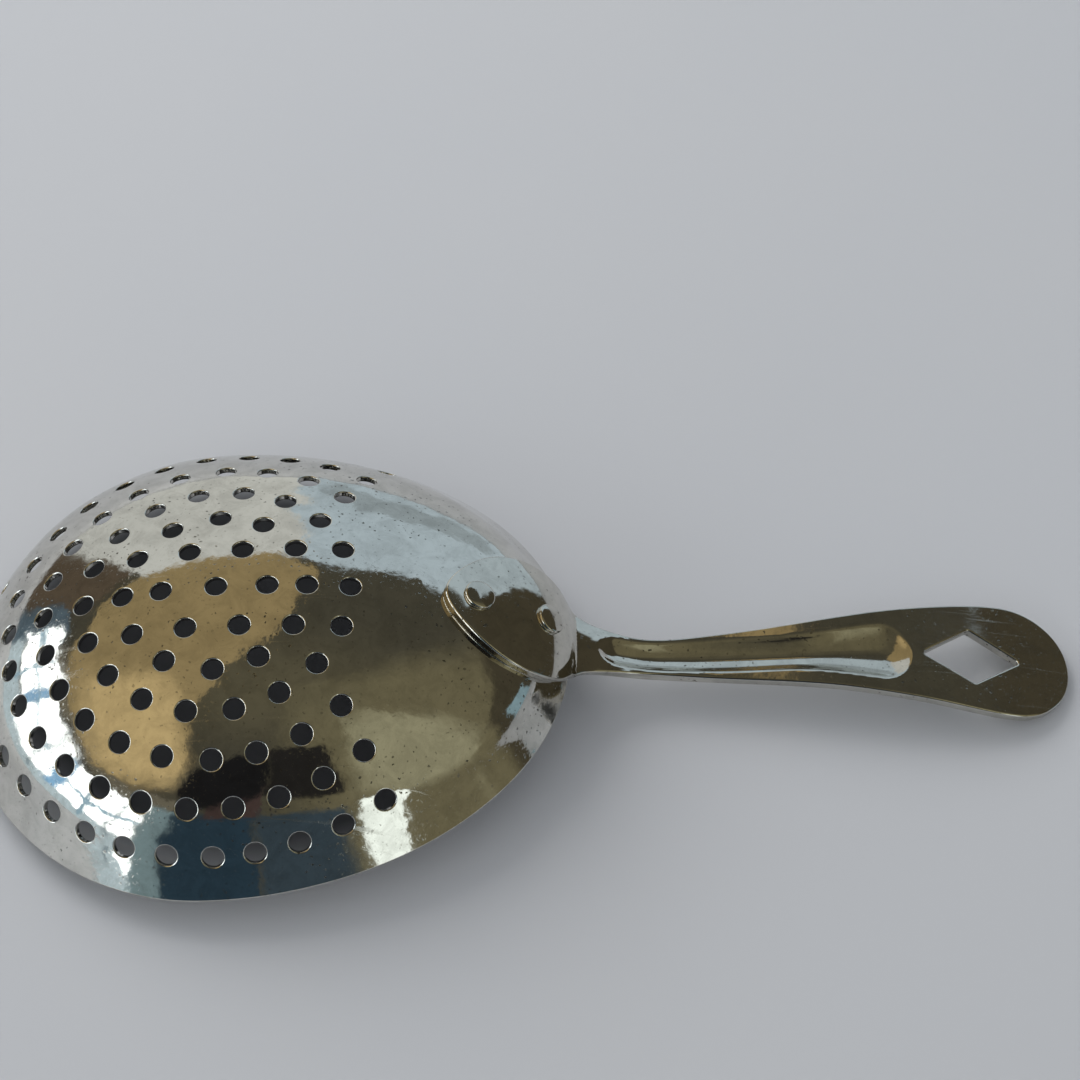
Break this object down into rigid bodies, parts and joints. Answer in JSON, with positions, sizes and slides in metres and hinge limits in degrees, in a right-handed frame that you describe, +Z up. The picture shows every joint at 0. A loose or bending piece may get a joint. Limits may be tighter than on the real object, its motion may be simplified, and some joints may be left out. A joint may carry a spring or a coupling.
{
  "type": "julep strainer",
  "caption": "Perforated egg-shaped pressed bowl with a stamped handle riveted to its back; rests over a glass or face down.",
  "frame": {"origin": "on the surface that the strainer lies on, below the middle of its bounding box", "axes": "+X from the bowl towards the handle's end, +Z up, out of the convex side of the bowl; the strainer lies face down"},
  "size_m": [0.1716, 0.0786, 0.0269],
  "materials": {
    "bowl_chrome": "bright plating, lightly pitted and scratched",
    "handle_chrome": "bright plating, worn and pitted",
    "rivet_chrome": "bright plating, hammered"
  },
  "bodies": {
    "root": {"bowl": "bowl_chrome", "handle": "handle_chrome", "rivet_front": "rivet_chrome", "rivet_rear": "rivet_chrome"}
  },
  "joints": []
}
